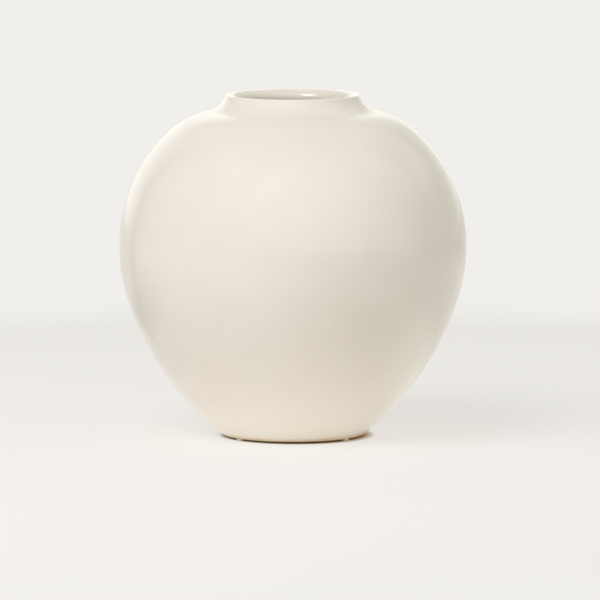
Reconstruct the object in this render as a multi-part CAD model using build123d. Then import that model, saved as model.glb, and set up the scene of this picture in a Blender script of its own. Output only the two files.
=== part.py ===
# Cream glazed moon jar: two thrown bowls joined at the belly, a thrown collar at the mouth, a coat of
# glaze outside and in, and four small pads under the foot. The jar stands on z = 0, with +Z up its axis
# and its front towards -Y. Sections are drawn with x as radius and y as height above the foot's underside.
from build123d import *
from math import cos, radians, sin, sqrt, tan
import os

# Outline of the glazed jar
jar_height = 272.0
belly_radius = 138.7
belly_height = 151.0
foot_radius = 58.2
flank_lean = 50.7        # degrees off upright at the foot, outwards
flank_bend = 3.27        # tangent length at the foot over that at the belly
shoulder_lean = 77.7     # degrees off upright where the collar begins, inwards
shoulder_bend = 3.7      # tangent length at the belly over that at the collar
collar_radius = 20.5     # hollow curve from the shoulder up to the lip
collar_lean = 20.5       # degrees off upright just under the lip, inwards
lip_edge = 2.0           # rounding of the lip's outer edge

# Mouth
mouth_radius = 44.6      # narrowest place, inside the neck
mouth_length = 0.6       # upright stretch there
mouth_flare = 7.2        # rounding from there out to the top of the lip
mouth_bend = 2.0         # tangent length at the shoulder over that at the mouth

# Wall, floor and foot
glaze_coat = 0.4
clay_wall = 4.4
slip_seam = 0.8          # joining slip between two pieces of clay
floor_thickness = 7.0
floor_round = 24.0       # where the inner wall turns into the floor
foot_ring = 12.0         # width of the flat ring that the pads are stuck to
foot_hollow = 3.0        # depth of the turned hollow inside that ring
hollow_round = 1.5
foot_edge = 0.6          # rounding of the foot's outer edge
dry_foot = 0.2           # bare clay below the outer glaze

# Pads
pad_diameter = 6.4
pad_height = 1.4
pad_edge = 0.4
pad_glue = 0.2
pad_setback = 0.1        # pad's rim to the edge of the flat ring
pad_bearing = 50.0       # degrees from straight ahead or straight behind

lip_top = Vector(mouth_radius + mouth_flare, jar_height)
lip_centre = lip_top - Vector(0, lip_edge)
inner_clay = glaze_coat + clay_wall
inner_glaze = inner_clay + glaze_coat
floor_level = foot_hollow + floor_thickness
stand = pad_height + pad_glue
run_out = foot_radius / 2            # wall carried on below the foot before it is cut level


def upwards(lean):
    # Way up a wall that leans in by this many degrees
    return Vector(-sin(radians(lean)), cos(radians(lean)))


def outwards(way):
    # Square to the wall, away from the axis
    return Vector(way.Y, -way.X)


def straight(middle, way, length):
    # Straight stretch of wall about its middle, as places with their ways
    return [(middle - way * (length / 2), way), (middle + way * (length / 2), way)]


def bend(start, way, end):
    # Arc that leaves start along way and reaches end, as places with their ways
    chord = end - start
    along = chord.normalized()
    forward = way.dot(along)
    middle = (start + end) / 2 + (way - along * forward) * (chord.length / 2 / (1 + forward))
    return [(start, way), (middle, along), (end, along * (2 * forward) - way)]


def double_bend(start, way, end, end_way, ratio):
    # Two arcs, smooth where they meet, whose tangents at start and end have this ratio of lengths
    chord = end - start
    lead = end_way + way * ratio
    square = 2 * ratio * (way.dot(end_way) - 1)
    reach = chord.dot(lead)
    length = (reach - sqrt(reach**2 - square * chord.dot(chord))) / square
    first = start + way * (ratio * length)
    last = end - end_way * length
    meeting = first + (last - first) * (ratio / (1 + ratio))
    lower = bend(start, way, meeting)
    return [lower, bend(meeting, lower[-1][1], end)]


def outline():
    # The glazed outside, from below the foot up to the top of the lip, as stretches of straight line
    # and arc, with a straight one over each slip seam
    foot = Vector(foot_radius, 0)
    foot_way = upwards(-flank_lean)
    below = straight(foot - foot_way * (run_out / 2), foot_way, run_out)
    waist = straight(Vector(belly_radius, belly_height), upwards(0), slip_seam)
    lip_way = upwards(collar_lean)
    lip = lip_centre + outwards(lip_way) * lip_edge
    shoulder_way = upwards(shoulder_lean)
    shoulder = lip + (outwards(lip_way) - outwards(shoulder_way)) * collar_radius
    seam = straight(shoulder - shoulder_way * (slip_seam / 2), shoulder_way, slip_seam)
    flank = double_bend(*below[-1], *waist[0], flank_bend)
    upper = double_bend(*waist[-1], *seam[0], shoulder_bend)
    return [below, *flank, waist, *upper, seam, bend(*seam[-1], lip), bend(lip, lip_way, lip_top)]


def inline():
    # The glazed inside, from below the floor up to the top of the lip
    body = []
    for stretch in outline()[:-2]:
        body.append([(place - outwards(way) * inner_glaze, way) for place, way in stretch])
    low = Vector(mouth_radius, jar_height - mouth_flare - mouth_length / 2)
    throat = straight(low, upwards(0), mouth_length)
    under = double_bend(*body[-1][-1], *throat[0], mouth_bend)
    return [*body, *under, throat, bend(*throat[-1], lip_top)]


def rectangle(radius, low, high):
    return Pos(radius / 2, (low + high) / 2) * Rectangle(radius, high - low)


def filled(stretches, depth, floor):
    # Everything within a line moved inwards by this depth and above the floor, up to a level mouth
    edges = []
    for stretch in stretches:
        places = [place - outwards(way) * depth for place, way in stretch]
        edges.append(Line(*places) if len(places) == 2 else ThreePointArc(*places))
    bottom = edges[0] @ 0
    corners = [edges[-1] @ 1, Vector(0, (edges[-1] @ 1).Y), Vector(0, bottom.Y), bottom]
    face = make_face([*edges, *[Line(here, there) for here, there in zip(corners, corners[1:])]])
    return face & rectangle(2 * belly_radius, floor, jar_height)


def outer_corner(section, rounding):
    # Rounds the corner where the lowest level of a section meets its wall
    corner = section.vertices().group_by(Axis.Y)[0].sort_by(Axis.X)[-1]
    return fillet(corner, rounding)


def turned(section):
    return Pos(0, 0, stand) * revolve(Plane.XZ * section, Axis.Z)


# Layers of the wall, as areas that nest in each other
clay_area = outer_corner(filled(outline(), glaze_coat, 0), foot_edge)
inside_clay = outer_corner(filled(inline(), -glaze_coat, floor_level), floor_round)
inside_clay += rectangle(lip_top.X, jar_height - glaze_coat, jar_height)
inside_glaze = outer_corner(filled(inline(), 0, floor_level + glaze_coat), floor_round - glaze_coat)

# The flat of the foot, between its rounded edge and the turned hollow
edge_run = foot_edge * tan(radians(90 - flank_lean) / 2)
foot_flat = foot_radius - glaze_coat / cos(radians(flank_lean)) - edge_run
hollow_area = rectangle(foot_flat - foot_ring, -foot_hollow, foot_hollow)
hollow_corner = hollow_area.vertices().group_by(Axis.Y)[-1].sort_by(Axis.X)[-1]
clay = clay_area - inside_clay - fillet(hollow_corner, hollow_round)

# Slip seams, each a strip square across the wall and longer than the wall is thick
seam_strip = Rectangle(4 * inner_glaze, slip_seam)
collar_foot = outline()[-3][0][0] + upwards(shoulder_lean) * (slip_seam / 2)
waist_seam = Pos(belly_radius, belly_height) * seam_strip
collar_seam = Pos(collar_foot.X, collar_foot.Y) * Rot(0, 0, shoulder_lean) * seam_strip
lower_clay, upper_clay, collar_clay = (clay - waist_seam - collar_seam).faces().sort_by(Axis.Y)

# Outer glaze, wiped back from the foot, up to the top of the lip
outer_coat = filled(outline(), 0, 0) - filled(outline(), glaze_coat, 0) - inside_clay
outer_coat &= rectangle(2 * belly_radius, dry_foot, jar_height)

pieces = {
    "lower_bowl": turned(lower_clay),
    "upper_bowl": turned(upper_clay),
    "neck_collar": turned(collar_clay),
    "waist_slip": turned(clay & waist_seam),
    "collar_slip": turned(clay & collar_seam),
    "outer_glaze": turned(outer_coat),
    "liner_glaze": turned(inside_clay - inside_glaze),
}

# Pads near the foot's edge, two in front and two behind, each on its disc of glue
pad_circle = foot_flat - pad_setback - pad_diameter / 2
level_up = (Align.CENTER, Align.CENTER, Align.MIN)
pad = Cylinder(pad_diameter / 2, pad_height, align=level_up)
pad = fillet(pad.edges().sort_by(Axis.Z)[0], pad_edge)
glue = Cylinder(pad_diameter / 2, pad_glue, align=level_up)
glue_discs = []
for end, ahead in (("front", -1), ("rear", 1)):
    for side, across in (("left", -1), ("right", 1)):
        x = across * pad_circle * sin(radians(pad_bearing))
        y = ahead * pad_circle * cos(radians(pad_bearing))
        pieces[f"{end}_{side}_pad"] = Pos(x, y, 0) * pad
        glue_discs.append(Pos(x, y, pad_height) * glue)
pieces["pad_adhesive"] = Compound(glue_discs)

os.makedirs("parts", exist_ok=True)
for name, piece in pieces.items():
    export_step(piece, f"parts/{name}.step")
    print(name, len(piece.solids()), "solid(s)", round(piece.volume / 1000, 2), "cm3")
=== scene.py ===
# Cream moon jar on a plain pale floor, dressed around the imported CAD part
from math import atan2, ceil, cos, degrees, pi, radians, sin, sqrt, tan

import bpy
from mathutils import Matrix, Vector


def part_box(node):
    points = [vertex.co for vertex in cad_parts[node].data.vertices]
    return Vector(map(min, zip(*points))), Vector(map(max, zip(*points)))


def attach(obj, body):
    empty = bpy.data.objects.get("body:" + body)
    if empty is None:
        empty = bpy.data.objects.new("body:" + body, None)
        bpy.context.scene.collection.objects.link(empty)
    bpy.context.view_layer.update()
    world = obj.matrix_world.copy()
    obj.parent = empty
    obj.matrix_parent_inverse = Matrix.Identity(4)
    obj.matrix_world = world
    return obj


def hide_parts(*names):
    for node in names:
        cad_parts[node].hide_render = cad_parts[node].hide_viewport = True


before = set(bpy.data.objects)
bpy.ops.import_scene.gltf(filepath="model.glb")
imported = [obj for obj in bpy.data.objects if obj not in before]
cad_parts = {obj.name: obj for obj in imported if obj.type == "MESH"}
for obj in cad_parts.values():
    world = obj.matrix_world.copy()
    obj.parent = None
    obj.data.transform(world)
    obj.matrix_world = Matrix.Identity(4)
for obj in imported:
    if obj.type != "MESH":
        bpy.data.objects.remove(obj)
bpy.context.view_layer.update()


# Outline of the jar as radius and height above the foot's underside, in metres and degrees
jar = {
    "height": 0.272,
    "bellyRadius": 0.1387,
    "bellyHeight": 0.151,
    "footRadius": 0.0582,
    "flankLean": 50.7,     # off upright at the foot, outwards
    "flankBend": 3.27,     # tangent length at the foot over that at the belly
    "shoulderLean": 77.7,  # off upright where the collar begins, inwards
    "shoulderBend": 3.7,   # tangent length at the belly over that at the collar
    "collarRadius": 0.0205,
    "collarLean": 20.5,    # off upright just under the lip, inwards
    "lipEdge": 0.0020,
    "mouthRadius": 0.0446,
    "mouthLength": 0.0006,
    "mouthFlare": 0.0072,
    "mouthBend": 2.0,      # tangent length at the shoulder over that at the mouth
    "glaze": 0.0004,
    "clay": 0.0044,
    "seam": 0.0008,        # joining slip at the belly and under the collar
    "stand": 0.0016,       # pads and their glue under the foot
    "segments": 192,
    "ringGap": 0.0032,     # longest step along the wall
    "ringTurn": 2.5,       # most degrees between two steps
    "ringLeast": 2,        # fewest steps along an arc
    "weld": 0.000002,      # points closer than this become one
    "smooth": 40,          # degrees, past which an edge stays sharp
}


def upward(lean):
    return Vector((-sin(radians(lean)), cos(radians(lean))))


def outward(lean):
    return Vector((cos(radians(lean)), sin(radians(lean))))


def arc(start, lean, end):
    # leaves start at this lean and reaches end; a hollow arc has a radius below zero
    chord = end - start
    turn = 2 * (degrees(atan2(-chord.x, chord.y)) - lean)
    radius = chord.length / (2 * sin(radians(turn / 2)))
    return {"centre": start - outward(lean) * radius, "radius": radius, "leans": (lean, lean + turn)}


def twoArcs(start, lean, end, endLean, ratio):
    # tangents at start and end have this ratio of lengths
    way = upward(lean)
    endWay = upward(endLean)
    chord = end - start
    square = 2 * ratio * (way.dot(endWay) - 1)
    reach = chord.dot(endWay + way * ratio)
    length = (reach - sqrt(reach ** 2 - square * chord.length_squared)) / square
    first = start + way * (ratio * length)
    last = end - endWay * length
    meeting = first.lerp(last, ratio / (1 + ratio))
    lower = arc(start, lean, meeting)
    return [lower, arc(meeting, lower["leans"][1], end)]


def roundCentre(centre, radius, first, last, steps):
    # points round a centre, from one lean to another
    return [centre + outward(first + (last - first) * step / steps) * radius for step in range(steps + 1)]


def alongArc(bow, depth=0):
    # points of an arc moved into the wall by this depth
    reach = bow["radius"] - depth
    first, last = bow["leans"]
    turn = last - first
    finest = max(abs(turn) / jar["ringTurn"], abs(radians(turn) * reach) / jar["ringGap"], jar["ringLeast"])
    return roundCentre(bow["centre"], reach, first, last, ceil(finest))


def alongWall(arcs, depth):
    return [point for bow in arcs for point in alongArc(bow, depth)]


def jarOutline():
    # lower flank, upper flank, belly, shoulder, collar and the lip's outer edge
    foot = Vector((jar["footRadius"], 0))
    belly = Vector((jar["bellyRadius"], jar["bellyHeight"]))
    halfSeam = upward(0) * (jar["seam"] / 2)
    lipCentre = Vector((jar["mouthRadius"] + jar["mouthFlare"], jar["height"] - jar["lipEdge"]))
    lip = lipCentre + outward(jar["collarLean"]) * jar["lipEdge"]
    shoulder = lip + (outward(jar["collarLean"]) - outward(jar["shoulderLean"])) * jar["collarRadius"]
    slipEdge = shoulder - upward(jar["shoulderLean"]) * jar["seam"]
    arcs = twoArcs(foot, -jar["flankLean"], belly - halfSeam, 0, jar["flankBend"])
    arcs += twoArcs(belly + halfSeam, 0, slipEdge, jar["shoulderLean"], jar["shoulderBend"])
    arcs.append(arc(shoulder, jar["shoulderLean"], lip))
    arcs.append({"centre": lipCentre, "radius": jar["lipEdge"], "leans": (jar["collarLean"], 90)})
    return arcs


def jarInline(arcs):
    # the glazed inside: flanks, belly, shoulder, then up through the mouth and out over the lip
    depth = jar["clay"] + 2 * jar["glaze"]
    body, collar = arcs[:4], arcs[4]
    lines = []
    for bow in body:
        lines.append({"centre": bow["centre"], "radius": bow["radius"] - depth, "leans": bow["leans"]})
    ceiling = alongArc(collar, depth)[0]
    low = Vector((jar["mouthRadius"], jar["height"] - jar["mouthFlare"] - jar["mouthLength"]))
    lines += twoArcs(ceiling, jar["shoulderLean"], low, 0, jar["mouthBend"])
    high = low + upward(0) * jar["mouthLength"]
    top = high + Vector((jar["mouthFlare"], jar["mouthFlare"]))
    lines.append(arc(high, 0, top))
    return lines


def insideLine(arcs, depth, floor, rounding):
    # from the axis over a level floor, round its corner and up the inner wall
    wall = arcs[0]
    reach = wall["radius"] - depth - rounding
    height = floor + rounding
    across = sqrt(reach ** 2 - (height - wall["centre"].y) ** 2)
    corner = Vector((wall["centre"].x + across, height))
    lean = degrees(atan2(height - wall["centre"].y, across))
    steps = ceil(corner.x / jar["ringGap"])
    level = [Vector((corner.x * step / steps, floor)) for step in range(steps)]
    bend = alongArc({"centre": corner, "radius": rounding, "leans": (-90, lean)})
    rest = {"centre": wall["centre"], "radius": wall["radius"], "leans": (lean, wall["leans"][1])}
    return level + bend + alongArc(rest, depth)[1:] + alongWall(arcs[1:], depth)


def turnPiece(name, line):
    # a small plane merged to one point, drawn out along the line and spun about the jar's axis
    bpy.ops.object.select_all(action="DESELECT")
    lifted = [Vector((point.x, 0, point.y + jar["stand"])) for point in line]
    bpy.ops.mesh.primitive_plane_add(size=jar["ringGap"], location=lifted[0])
    piece = bpy.context.object
    piece.name = name
    piece.data.name = name
    bpy.ops.object.transform_apply(location=True, rotation=True, scale=True)
    bpy.ops.object.mode_set(mode="EDIT")
    bpy.ops.mesh.select_all(action="SELECT")
    bpy.ops.mesh.merge(type="CENTER")
    for here, there in zip(lifted, lifted[1:]):
        bpy.ops.mesh.extrude_vertices_move(TRANSFORM_OT_translate={"value": there - here})
    bpy.ops.mesh.select_all(action="SELECT")
    bpy.ops.mesh.spin(steps=jar["segments"], angle=2 * pi, center=(0, 0, 0), axis=(0, 0, 1))
    bpy.ops.mesh.select_all(action="SELECT")
    bpy.ops.mesh.remove_doubles(threshold=jar["weld"])
    bpy.ops.mesh.normals_make_consistent(inside=False)
    bpy.ops.object.mode_set(mode="OBJECT")
    bpy.ops.object.shade_smooth_by_angle(angle=radians(jar["smooth"]))
    print(name, "turned,", len(line), "points,", len(piece.data.polygons), "faces")
    return piece


outline = jarOutline()
inline = jarInline(outline)


# Outer glaze, from a rolled edge just above the foot up over the lip
glazeCoatForm = {
    "dryLine": 0.0002,     # bare clay below it
    "edgeRoll": 0.0002,
    "edgeSteps": 6,
    "backStart": 0.7,      # how far below the face its back begins, in thicknesses
}


def makeGlazeCoat():
    form = glazeCoatForm
    thick = jar["glaze"]
    roll = form["edgeRoll"]
    face = [point for point in alongWall(outline, 0) if point.y > form["dryLine"] + roll]
    lowest = face[0].y - thick * form["backStart"]
    back = [point for point in alongWall(outline, thick) if point.y > lowest]
    along = (face[1] - face[0]).normalized()
    inwards = Vector((-along.y, along.x))
    edge = []
    for step in range(form["edgeSteps"]):
        turn = radians(90 * step / form["edgeSteps"])
        edge.append(face[0] + inwards * (thick * (1 - sin(turn))) - along * (roll * cos(turn)))
    return turnPiece("glazeCoat", edge + face + back[::-1] + edge[:1])


glazeCoat = makeGlazeCoat()


# Inner glaze, with the throwing rings left in the floor
linerCoatForm = {
    "floorLevel": 0.010,
    "floorRound": 0.024,
    "rippleHeight": 0.00016,
    "rippleGap": 0.0085,
    "rippleReach": 0.075,  # radius where the rings die away
    "rippleTop": 0.05,     # height where they end
}


def makeLinerCoat():
    form = linerCoatForm
    thick = jar["glaze"]
    face = insideLine(inline, 0, form["floorLevel"] + thick, form["floorRound"] - thick)
    back = insideLine(inline, -thick, form["floorLevel"], form["floorRound"])
    for point in face:
        if point.y < form["rippleTop"]:
            fade = max(0, 1 - point.x / form["rippleReach"])
            point.y += form["rippleHeight"] * fade * sin(2 * pi * point.x / form["rippleGap"])
    return turnPiece("linerCoat", face + back[::-1])


linerCoat = makeLinerCoat()


# Thrown collar inside the glaze of the neck
def makeClayCollar():
    outer = alongWall(outline[4:], jar["glaze"])
    inner = alongWall(inline[4:], -jar["glaze"])
    return turnPiece("clayCollar", outer + inner[::-1][1:] + outer[:1])


clayCollar = makeClayCollar()


# Thrown lower half with its turned foot
footBowlForm = {
    "footEdge": 0.0006,
    "footEdgeSteps": 5,
    "footRing": 0.012,
    "footRingSteps": 8,
    "footHollow": 0.003,
    "hollowSteps": 90,
    "hollowRound": 0.0015,
    "hollowRoundSteps": 6,
    "ringEase": 0.0005,
    "ringEaseSteps": 4,
    "grooves": (0.0125, 0.0235, 0.0345),    # tool rings in the hollow
    "grooveDepth": 0.00028,
    "grooveWidth": 0.0016,
}


def makeFootBowl():
    form = footBowlForm
    lean = jar["flankLean"]
    edge = form["footEdge"]
    ease = form["ringEase"]
    hollow = form["footHollow"]
    flat = jar["footRadius"] - jar["glaze"] / cos(radians(lean)) - edge * tan(radians(45 - lean / 2))
    ring = flat - form["footRing"]
    corner = Vector((ring - form["hollowRound"], hollow - form["hollowRound"]))
    line = []
    for step in range(form["hollowSteps"]):
        radius = corner.x * step / form["hollowSteps"]
        near = min(abs(radius - groove) for groove in form["grooves"]) / form["grooveWidth"]
        line.append(Vector((radius, hollow + form["grooveDepth"] * max(0, 1 - near ** 2) ** 2)))
    line += roundCentre(corner, form["hollowRound"], 90, 0, form["hollowRoundSteps"])
    eased = Vector((ring + ease, ease))
    line += roundCentre(eased, ease, 180, 270, form["ringEaseSteps"])
    for step in range(1, form["footRingSteps"]):
        line.append(Vector((eased.x + (flat - eased.x) * step / form["footRingSteps"], 0)))
    line += roundCentre(Vector((flat, edge)), edge, -90, -lean, form["footEdgeSteps"])
    line += alongWall(outline[:2], jar["glaze"])
    inner = insideLine(inline[:2], -jar["glaze"], linerCoatForm["floorLevel"], linerCoatForm["floorRound"])
    return turnPiece("footBowl", line + inner[::-1])


footBowl = makeFootBowl()


# Stick-on pads under the foot, modelled once and copied
padForm = {
    "radius": 0.0032,
    "height": 0.0014,
    "sides": 48,
    "edges": {             # side, width and segments
        "lower": (-1, 0.00042, 4),
        "upper": (1, 0.00012, 2),
    },
    "dimpleEdge": 0.0011,
    "dimpleSlope": 0.00036,
    "dimple": 0.00012,
    "level": 0.9,          # a normal this far up or down belongs to a level face
    "smooth": 35,
    "names": {             # for each CAD node
        "front_left_pad": "frontLeftPad",
        "front_right_pad": "frontRightPad",
        "rear_left_pad": "rearLeftPad",
        "rear_right_pad": "rearRightPad",
    },
}


def selectFaces(piece, wanted):
    bpy.ops.object.mode_set(mode="OBJECT")
    for edge in piece.data.edges:
        edge.select = False
    for vertex in piece.data.vertices:
        vertex.select = False
    for face in piece.data.polygons:
        face.select = wanted(face)
    bpy.ops.object.mode_set(mode="EDIT")
    bpy.ops.mesh.select_mode(type="FACE")


def padPlace(node):
    return Vector([(low + high) / 2 for low, high in zip(*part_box(node))])


def makePads():
    form = padForm
    level = form["level"]
    places = [padPlace(node) for node in form["names"]]
    bpy.ops.object.select_all(action="DESELECT")
    bpy.ops.mesh.primitive_cylinder_add(
        vertices=form["sides"], radius=form["radius"], depth=form["height"], location=places[0])
    first = bpy.context.object
    for side, width, segments in form["edges"].values():
        selectFaces(first, lambda face: face.normal.z * side > level)
        bpy.ops.mesh.region_to_loop()
        bpy.ops.mesh.bevel(offset=width, segments=segments, affect="EDGES")
    selectFaces(first, lambda face: face.normal.z < -level and len(face.vertices) == form["sides"])
    bpy.ops.mesh.inset(thickness=form["dimpleEdge"])
    bpy.ops.mesh.inset(thickness=form["dimpleSlope"], depth=-form["dimple"])
    bpy.ops.object.mode_set(mode="OBJECT")
    bpy.ops.object.shade_smooth_by_angle(angle=radians(form["smooth"]))
    pads = [first]
    for place in places[1:]:
        bpy.ops.object.select_all(action="DESELECT")
        first.select_set(True)
        bpy.context.view_layer.objects.active = first
        bpy.ops.object.duplicate(linked=False)
        bpy.context.object.location = place
        pads.append(bpy.context.object)
    bpy.ops.object.select_all(action="DESELECT")
    for pad, name in zip(pads, form["names"].values()):
        pad.name = name
        pad.data.name = name
        pad.select_set(True)
    bpy.context.view_layer.objects.active = first
    bpy.ops.object.transform_apply(location=True, rotation=True, scale=True)
    print("pads placed at", [tuple(round(value, 4) for value in place) for place in places])
    return pads


pads = makePads()


# Shader sums: a wire is one socket, and sums on it add their Math nodes
class Wire:
    def __init__(self, tree, socket=None):
        self.tree = tree
        self.socket = socket

    def node(self, kind, settings=None, sockets=None, out=0):
        # any node: its settings first, then values or links for its sockets
        made = self.tree.nodes.new(kind)
        for name, value in (settings or {}).items():
            setattr(made, name, value)
        for name, value in (sockets or {}).items():
            if isinstance(value, Wire):
                self.tree.links.new(value.socket, made.inputs[name])
            else:
                made.inputs[name].default_value = value
        return Wire(self.tree, made.outputs[out] if len(made.outputs) else None)

    def sum(self, operation, first, second=0.0):
        return self.node("ShaderNodeMath", {"operation": operation}, {0: first, 1: second})

    def __add__(self, other):
        return self.sum("ADD", self, other)

    def __radd__(self, other):
        return self.sum("ADD", other, self)

    def __sub__(self, other):
        return self.sum("SUBTRACT", self, other)

    def __rsub__(self, other):
        return self.sum("SUBTRACT", other, self)

    def __mul__(self, other):
        return self.sum("MULTIPLY", self, other)

    def __rmul__(self, other):
        return self.sum("MULTIPLY", other, self)

    def sine(self):
        return self.sum("SINE", self)

    def larger(self, other):
        return self.sum("MAXIMUM", self, other)

    def vectors(self, operation, other=(0, 0, 0), out="Value"):
        # this wire's vector with another one
        return self.node("ShaderNodeVectorMath", {"operation": operation}, {0: self, 1: other}, out=out)

    def rise(self, low, high):
        # 0 below low, 1 above high, smooth between; low may be the larger
        return self.node("ShaderNodeMapRange", {"interpolation_type": "SMOOTHSTEP"},
                         {"Value": self, "From Min": low, "From Max": high})

    def blend(self, first, second):
        # colour from first to second as this goes from 0 to 1
        return self.node("ShaderNodeMix", {"data_type": "RGBA"}, {0: self, 6: first, 7: second}, out=2)

    def cloud(self, scale, detail, roughness=0.5):
        # noise on this wire's coordinates
        return self.node("ShaderNodeTexNoise", {}, {
            "Vector": self, "Scale": scale, "Detail": detail, "Roughness": roughness})

    def part(self, name):
        return self.node("ShaderNodeSeparateXYZ", {}, {0: self}, out=name)


def newLook(name):
    look = bpy.data.materials.new(name)
    look.use_nodes = True
    look.node_tree.nodes.clear()
    start = Wire(look.node_tree)
    return look, start, start.node("ShaderNodeTexCoord", out="Object")


def endLook(start, colour, roughness, relief, ior):
    # the relief is in millimetres
    normal = start.node("ShaderNodeBump", {}, {"Strength": 1.0, "Distance": 0.001, "Height": relief})
    shader = start.node("ShaderNodeBsdfPrincipled", {}, {
        "Base Color": colour, "Roughness": roughness, "Normal": normal, "IOR": ior})
    start.node("ShaderNodeOutputMaterial", {}, {"Surface": shader})


# Cream glaze: cloudy tone, thin at the lip and the foot, faint throwing rings under a soft gloss.
# Each noise has its scale and detail, and each place its heights above the ground
creamGlazeLook = {
    "pale": (0.807, 0.764, 0.712, 1),
    "warm": (0.787, 0.737, 0.674, 1),
    "thin": (0.780, 0.700, 0.590, 1),
    "fleck": (0.56, 0.47, 0.37, 1),
    "clouds": (9, 3, 0.55),    # this one's roughness too
    "cloudShare": 0.7,
    "drift": (42, 2),
    "driftShare": 0.3,
    "mottle": (0.3, 0.7),      # noise that is still pale, and all warm
    "lipHeights": (0.2712, 0.2736),
    "lipThin": 0.10,
    "footHeights": (0.0022, 0.0042),
    "footThin": 0.25,
    "poolHeights": (0.012, 0.040),     # inside, where it pools on the floor
    "poolWarm": 0.5,
    "fleckCells": 95.0,
    "fleckSize": (0.015, 0.05),
    "spots": (31, 0),          # where there are flecks
    "spotEdge": (0.66, 0.72),
    "fleckDepth": 0.35,
    "roughness": 0.15,
    "neckHeights": (0.254, 0.266),
    "lipRoughness": 0.10,
    "foldHeights": (0.245, 0.2595, 0.270),
    "foldRoughness": 0.05,     # added where the collar folds into the shoulder
    "satin": (60, 3),
    "satinRoughness": 0.06,
    "ringGap": 0.0075,
    "wander": (14, 1),
    "ringWander": 9,
    "ringHeight": 0.004,
    "peel": (330, 1),
    "peelHeight": 0.006,
    "swell": (26, 1),
    "swellHeight": 0.05,
    "ior": 1.5,
}


def glazeLook(name, form, inside):
    look, start, place = newLook(name)
    height = place.part("Z")
    clouds = place.cloud(*form["clouds"]) * form["cloudShare"]
    drift = place.cloud(*form["drift"]) * form["driftShare"]
    colour = (clouds + drift).rise(*form["mottle"]).blend(form["pale"], form["warm"])
    thin = height.rise(*form["lipHeights"]) * form["lipThin"]
    if not inside:
        thin = thin.larger((1 - height.rise(*form["footHeights"])) * form["footThin"])
    colour = thin.blend(colour, form["thin"])
    if inside:
        pool = (1 - height.rise(*form["poolHeights"])) * form["poolWarm"]
        colour = pool.blend(colour, form["warm"])
    cells = place.node("ShaderNodeTexVoronoi", {}, {"Vector": place, "Scale": form["fleckCells"]})
    spots = place.cloud(*form["spots"]).rise(*form["spotEdge"])
    fleck = (1 - cells.rise(*form["fleckSize"])) * spots * form["fleckDepth"]
    colour = fleck.blend(colour, form["fleck"])
    neck = height.rise(*form["neckHeights"])
    low, middle, high = form["foldHeights"]
    fold = height.rise(low, middle) * (1 - height.rise(middle, high))
    roughness = form["roughness"] + neck * (form["lipRoughness"] - form["roughness"])
    roughness += fold * form["foldRoughness"] + form["satinRoughness"] * place.cloud(*form["satin"])
    wander = place.cloud(*form["wander"]) * form["ringWander"]
    rings = (height * (2 * pi / form["ringGap"]) + wander).sine()
    relief = rings * form["ringHeight"] + place.cloud(*form["peel"]) * form["peelHeight"]
    relief += place.cloud(*form["swell"]) * form["swellHeight"]
    endLook(start, colour, roughness, relief, form["ior"])
    return look


creamGlaze = glazeLook("creamGlaze", creamGlazeLook, False)


# Inner glaze: the same, a little warmer
linerGlazeLook = creamGlazeLook | {
    "pale": (0.807, 0.757, 0.688, 1),
    "warm": (0.787, 0.728, 0.648, 1),
}
linerGlaze = glazeLook("linerGlaze", linerGlazeLook, True)


# Bare clay: buff body with fine grog and the marks of turning
bareClayLook = {
    "buff": (0.78, 0.66, 0.50, 1),
    "flash": (0.74, 0.58, 0.41, 1),
    "grog": (0.56, 0.43, 0.30, 1),
    "clouds": (22, 3),
    "flashEdge": (0.35, 0.7),
    "grains": (1500, 2),
    "grogEdge": (0.62, 0.72),
    "grogDepth": 0.5,
    "roughness": 0.82,
    "cloudRoughness": 0.1,
    "ringGap": 0.0011,
    "wander": (40, 1),
    "ringWander": 2,
    "ringHeight": 0.02,
    "grainHeight": 0.05,
    "ior": 1.45,
}


def clayLook(name, form):
    look, start, place = newLook(name)
    radius = place.vectors("MULTIPLY", (1, 1, 0), out="Vector").vectors("LENGTH")
    clouds = place.cloud(*form["clouds"])
    colour = clouds.rise(*form["flashEdge"]).blend(form["buff"], form["flash"])
    grains = place.cloud(*form["grains"])
    colour = (grains.rise(*form["grogEdge"]) * form["grogDepth"]).blend(colour, form["grog"])
    roughness = form["roughness"] + form["cloudRoughness"] * clouds
    wander = place.cloud(*form["wander"]) * form["ringWander"]
    rings = (radius * (2 * pi / form["ringGap"]) + wander).sine()
    relief = rings * form["ringHeight"] + grains * form["grainHeight"]
    endLook(start, colour, roughness, relief, form["ior"])
    return look


bareClay = clayLook("bareClay", bareClayLook)


# Joining slip: the same clay, finer and paler
firedSlipLook = bareClayLook | {
    "buff": (0.80, 0.69, 0.55, 1),
    "flash": (0.77, 0.64, 0.49, 1),
    "grog": (0.62, 0.49, 0.36, 1),
    "ringGap": 0.0024,
}
firedSlip = clayLook("firedSlip", firedSlipLook)


# Pads: milky soft plastic, a little dusty, and darker towards the ground
padRubberLook = {
    "milk": (0.92, 0.885, 0.81, 1),
    "dust": (0.84, 0.795, 0.71, 1),
    "grains": (900, 3),
    "dustEdge": (0.45, 0.7),
    "dustDepth": 0.6,
    "lowHeights": (0.0, 0.0007),
    "lowDepth": 0.25,
    "roughness": 0.42,
    "dustRoughness": 0.15,
    "dustHeight": 0.012,
    "ior": 1.45,
}


def padLook(name, form):
    look, start, place = newLook(name)
    dust = place.cloud(*form["grains"])
    # darker towards the ground, in the lowest part of each pad
    low = 1 - place.part("Z").rise(*form["lowHeights"])
    darkShare = dust.rise(*form["dustEdge"]) * form["dustDepth"] + low * form["lowDepth"]
    colour = darkShare.blend(form["milk"], form["dust"])
    roughness = form["roughness"] + form["dustRoughness"] * dust
    endLook(start, colour, roughness, dust * form["dustHeight"], form["ior"])
    return look


padRubber = padLook("padRubber", padRubberLook)


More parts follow.
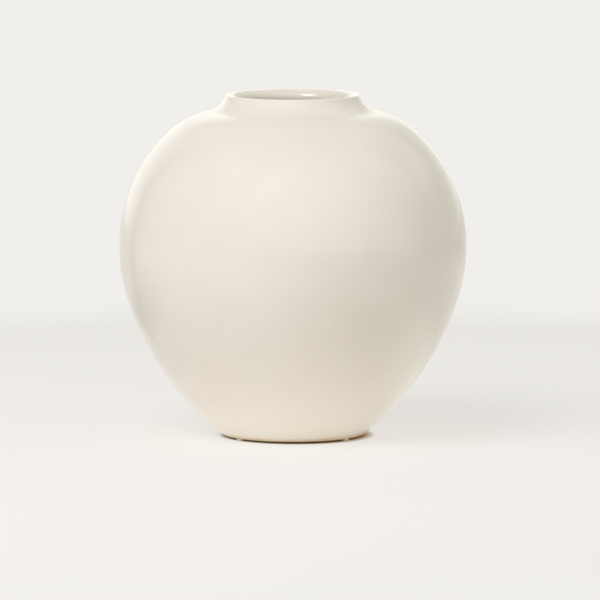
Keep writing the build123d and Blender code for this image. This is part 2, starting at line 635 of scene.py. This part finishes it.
# Glue: a thin yellowed film
padGlueLook = padRubberLook | {
    "milk": (0.70, 0.64, 0.50, 1),
    "dust": (0.60, 0.53, 0.40, 1),
    "roughness": 0.3,
}
padGlue = padLook("padGlue", padGlueLook)
print("looks made")


# Pieces ride on the jar's one body, take the place of their solids and get their looks
def dress(piece, look, slot, *nodes):
    piece.data.materials.clear()
    piece.data.materials.append(look)
    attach(piece, "root")
    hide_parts(*nodes)


dress(glazeCoat, creamGlaze, "cream_glaze", "outer_glaze")
dress(linerCoat, linerGlaze, "liner_glaze", "liner_glaze")
dress(clayCollar, bareClay, "bare_clay", "neck_collar")
dress(footBowl, bareClay, "bare_clay", "lower_bowl")
for pad, node in zip(pads, padForm["names"]):
    dress(pad, padRubber, "pad_rubber", node)

# Solids that stay as they are
keptLooks = {
    "upper_bowl": bareClay,
    "waist_slip": firedSlip,
    "collar_slip": firedSlip,
    "pad_adhesive": padGlue,
}
for node, look in keptLooks.items():
    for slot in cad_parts[node].material_slots:
        slot.material = look
print("pieces dressed")


def rightOf(bearing):
    # level and square to a bearing; bearings are degrees right of straight behind
    return (cos(radians(bearing)), -sin(radians(bearing)), 0)


# Pale floor: lit close to the jar, where its shadow falls, with painted warm shade under the foot, and
# plain further out.
# Only the gloss sees painted shade and painted light on it: a dark strip, a dark band, a dark patch and
# bright patches
floorForm = {
    "radius": 9.0,
    "sides": 128,
    "pale": (0.92, 0.895, 0.86, 1),            # lit
    # warm brown under the foot: painted warm shade for the gap under the jar
    "paintedGapWarmth": (0.90, 0.68, 0.42, 1),
    "near": (0.916, 0.900, 0.865, 1),          # plain, a little brighter than the backdrop: painted light near the jar
    "backdrop": (0.876, 0.860, 0.828, 1),
    "dark": (0.30, 0.29, 0.27, 1),             # painted shade of the strip and band, seen only in the gloss
    "footFrom": (0.0035, 0, 0),        # the shadow lies a little to the right
    "footReach": (0.0575, 0.064),
    "underReach": (0.052, 0.058),
    "footPlain": 0.68,                 # share of the plain tone in the shadow
    "farReach": (0.34, 1.0),
    # The strip and the band are painted shade on the floor, which only the gloss shows
    "strip": (-54, -44),               # bearings of its two sides
    "stripFrom": (-0.14, 0.03, 0),
    "stripReach": (0.20, 0.26),
    "stripEdge": 0.016,
    "bandStart": (-0.235, -0.265),     # to the left
    "bandEnd": (-0.42, -0.90),
    "bandFront": (-0.08, 0.06),        # from front to back
    "bandBack": (0.20, 0.46),
    "bandDepth": 0.65,
    "patches": {                       # painted shadow and painted light, seen only in the gloss: middle, reach and tone
        "rightPaintedShadow": ((0.16, -0.17, 0), (0.15, 0.04), (0.44, 0.43, 0.40, 1)),
        "rightPaintedLight": ((0.20, 0.02, 0), (0.14, 0.05), (1.25, 1.22, 1.16, 1)),
        "farPaintedLight": ((0.75, 0.60, 0), (0.60, 0.30), (1.05, 1.02, 0.98, 1)),
    },
}


def floorLook(form):
    look, start, place = newLook("plainFloor")
    camera = start.node("ShaderNodeLightPath", out="Is Camera Ray")
    glossy = start.node("ShaderNodeLightPath", out="Is Glossy Ray")
    clear = start.node("ShaderNodeLightPath", out="Is Transmission Ray")
    across = place.vectors("LENGTH")
    far = across.rise(*form["farReach"])
    spread = place.vectors("DISTANCE", form["footFrom"])
    foot = spread.rise(*form["footReach"])
    seen = (foot * form["footPlain"]).larger(far)
    away = (camera.larger(clear) * seen).larger(glossy * foot)
    # the plain tone is brighter near the jar, painted light, and fades to the backdrop further out
    tone = far.blend(form["near"], form["backdrop"])
    # painted shadow and painted light patches, which only the gloss shows
    for middle, reach, patch in form["patches"].values():
        spot = place.vectors("DISTANCE", middle).rise(*reach)
        tone = (spot * glossy).blend(tone, patch)
    # painted shade for the gloss: a dark strip and a dark band
    offset = place.vectors("SUBTRACT", form["stripFrom"], out="Vector")
    edge = form["stripEdge"]
    sides = []
    for bearing in form["strip"]:
        sides.append(offset.vectors("DOT_PRODUCT", rightOf(bearing)).rise(-edge, edge))
    strip = sides[0] * (1 - sides[1]) * across.rise(*form["stripReach"])
    sideways = place.part("X")
    behind = place.part("Y")
    band = sideways.rise(*form["bandStart"]) * (1 - sideways.rise(*form["bandEnd"])) * form["bandDepth"]
    band *= behind.rise(*form["bandFront"]) * (1 - behind.rise(*form["bandBack"]))
    tone = (strip.larger(band) * glossy).blend(tone, form["dark"])
    # under the foot the lit floor is warm brown, painted shade for the dark gap
    ground = spread.rise(*form["underReach"]).blend(form["paintedGapWarmth"], form["pale"])
    lit = start.node("ShaderNodeBsdfDiffuse", {}, {"Color": ground})
    plain = start.node("ShaderNodeEmission", {}, {"Color": tone, "Strength": 1.0})
    surface = start.node("ShaderNodeMixShader", {}, {0: away, 1: lit, 2: plain})
    start.node("ShaderNodeOutputMaterial", {}, {"Surface": surface})
    return look


def makeFloor():
    bpy.ops.object.select_all(action="DESELECT")
    bpy.ops.mesh.primitive_circle_add(
        vertices=floorForm["sides"], radius=floorForm["radius"], fill_type="NGON")
    floor = bpy.context.object
    floor.name = "plainFloor"
    floor.data.materials.append(floorLook(floorForm))
    print("floor laid")


makeFloor()


# Studio: soft light from all round with more from the right and the front, and, for the gloss alone,
# pale panels that stand round the jar and soft bright places
studio = {
    "backdrop": floorForm["backdrop"],
    "tint": (1.0, 0.985, 0.90, 1),
    "room": 0.347,
    "fills": {             # way to it and level
        "right": ((0.985, 0, 0.17), 0.274),
        "front": ((0, -0.985, 0.17), 0.298),
    },
    "fillReach": (0.2, 0.95),
    "panels": {            # bearings, from and to, and level
        "left": (-180, -52, 0.50),
        "behind": (-46, 28, 0.75),
        "right": (28, 180, 0.50),
    },
    "panelEdge": 0.04,
    "sheens": {            # way to it, reach and level
        "rightFront": ((0.60, -0.74, 0.30), (0.2, 0.9), 1.15),
        "rightBehind": ((0.707, 0.707, 0.0), (0.75, 0.98), 0.55),
        "rightHigh": ((0.60, 0.375, 0.707), (0.84, 0.98), 0.80),
        "leftBehind": ((-0.208, 0.978, 0.0), (0.83, 0.95), 0.62),
        "behindHigh": ((0.05, 0.88, 0.47), (0.94, 0.99), 0.32),
    },
}


def makeWorld():
    world = bpy.data.worlds.new("studio")
    bpy.context.scene.world = world
    world.use_nodes = True
    world.node_tree.nodes.clear()
    start = Wire(world.node_tree)
    way = start.node("ShaderNodeTexCoord", out="Generated")
    edge = studio["panelEdge"]

    def past(bearing):
        # 1 to the right of this bearing, 0 to its left
        return way.vectors("DOT_PRODUCT", rightOf(bearing)).rise(-edge, edge)

    lit = studio["room"]
    for direction, level in studio["fills"].values():
        lit += way.vectors("DOT_PRODUCT", direction).rise(*studio["fillReach"]) * level
    shown = 0
    for first, last, level in studio["panels"].values():
        shown += past(first) * (1 - past(last)) * level
    for direction, reach, level in studio["sheens"].values():
        shown += way.vectors("DOT_PRODUCT", direction).rise(*reach) * level
    camera = start.node("ShaderNodeLightPath", out="Is Camera Ray")
    glossy = start.node("ShaderNodeLightPath", out="Is Glossy Ray")
    strength = lit * (1 - glossy) + shown * glossy
    room = start.node("ShaderNodeBackground", {}, {"Color": studio["tint"], "Strength": strength})
    plain = start.node("ShaderNodeBackground", {}, {"Color": studio["backdrop"], "Strength": 1.0})
    surface = start.node("ShaderNodeMixShader", {}, {0: camera, 1: room, 2: plain})
    start.node("ShaderNodeOutputWorld", {}, {"Surface": surface})


makeWorld()


def makeLamp(name, place, way, size, power, tint):
    bpy.ops.object.light_add(type="AREA", location=place)
    lamp = bpy.context.object
    lamp.name = name
    lamp.rotation_euler = way.to_track_quat("Z", "Y").to_euler()
    lamp.data.size = size
    lamp.data.energy = power
    lamp.data.color = tint
    lamp.visible_camera = False
    return lamp


# Key lamp, soft and high on the left, and its bright middle, which only the gloss of the inner glaze shows
keyLamp = {
    "side": 40,            # degrees left of straight ahead
    "rise": 47,
    "far": 2.4,
    "aim": (0, 0, 0.13),
    "size": 1.6,
    "power": 33.8,
    "tint": (1.0, 1.0, 1.05),
    "glintSize": 1.0,
    "glintPower": 80.0,
}


def makeKeyLamp():
    side = radians(keyLamp["side"])
    rise = radians(keyLamp["rise"])
    way = Vector((-sin(side) * cos(rise), -cos(side) * cos(rise), sin(rise)))
    place = way * keyLamp["far"] + Vector(keyLamp["aim"])
    key = makeLamp("keyLamp", place, way, keyLamp["size"], keyLamp["power"], keyLamp["tint"])
    key.visible_glossy = False
    glint = makeLamp("keyGlint", place, way, keyLamp["glintSize"], keyLamp["glintPower"], keyLamp["tint"])
    glint.visible_diffuse = False
    lipOnly = bpy.data.collections.new("lipOnly")
    lipOnly.objects.link(linerCoat)
    glint.light_linking.receiver_collection = lipOnly


makeKeyLamp()


# Ring of light thrown up from the floor close to the foot
bounceLamp = {
    "height": 0.0003,
    "size": 0.50,
    "inner": (0.057, 0.061),   # radii between which it comes up, and those where it dies away
    "outer": (0.070, 0.250),
    "power": 0.170,
    "tint": (1.0, 0.985, 0.86),
}


def makeBounceLamp():
    form = bounceLamp
    upright = Vector((0, 0, 1))
    place = upright * form["height"]
    lamp = makeLamp("bounceLamp", place, -upright, form["size"], form["power"], form["tint"])
    lamp.data.shape = "DISK"
    lamp.visible_glossy = False
    lamp.data.use_nodes = True
    lamp.data.node_tree.nodes.clear()
    start = Wire(lamp.data.node_tree)
    radius = start.node("ShaderNodeNewGeometry", out="Position").vectors("LENGTH")
    level = radius.rise(*form["inner"]) * (1 - radius.rise(*form["outer"]))
    glow = start.node("ShaderNodeEmission", {}, {"Strength": level})
    start.node("ShaderNodeOutputLight", {}, {"Surface": glow})


makeBounceLamp()
print("studio lit")


# Camera at the photograph's place: long lens, a little above the belly
cameraForm = {
    "lens": 420.0,
    "sensor": 36.0,
    "far": 5.600,
    "rise": 6.45,
    "aim": (0.00576, 0.0, 0.10851),
    "clip": 60.0,
}


def makeCamera():
    rise = radians(cameraForm["rise"])
    place = Vector(cameraForm["aim"]) + Vector((0, -cos(rise), sin(rise))) * cameraForm["far"]
    bpy.ops.object.camera_add(location=place, rotation=(pi / 2 - rise, 0, 0))
    camera = bpy.context.object
    camera.data.lens = cameraForm["lens"]
    camera.data.sensor_width = cameraForm["sensor"]
    camera.data.clip_end = cameraForm["clip"]
    bpy.context.scene.camera = camera
    print("camera placed")


makeCamera()
bpy.context.scene.view_settings.view_transform = "Standard"
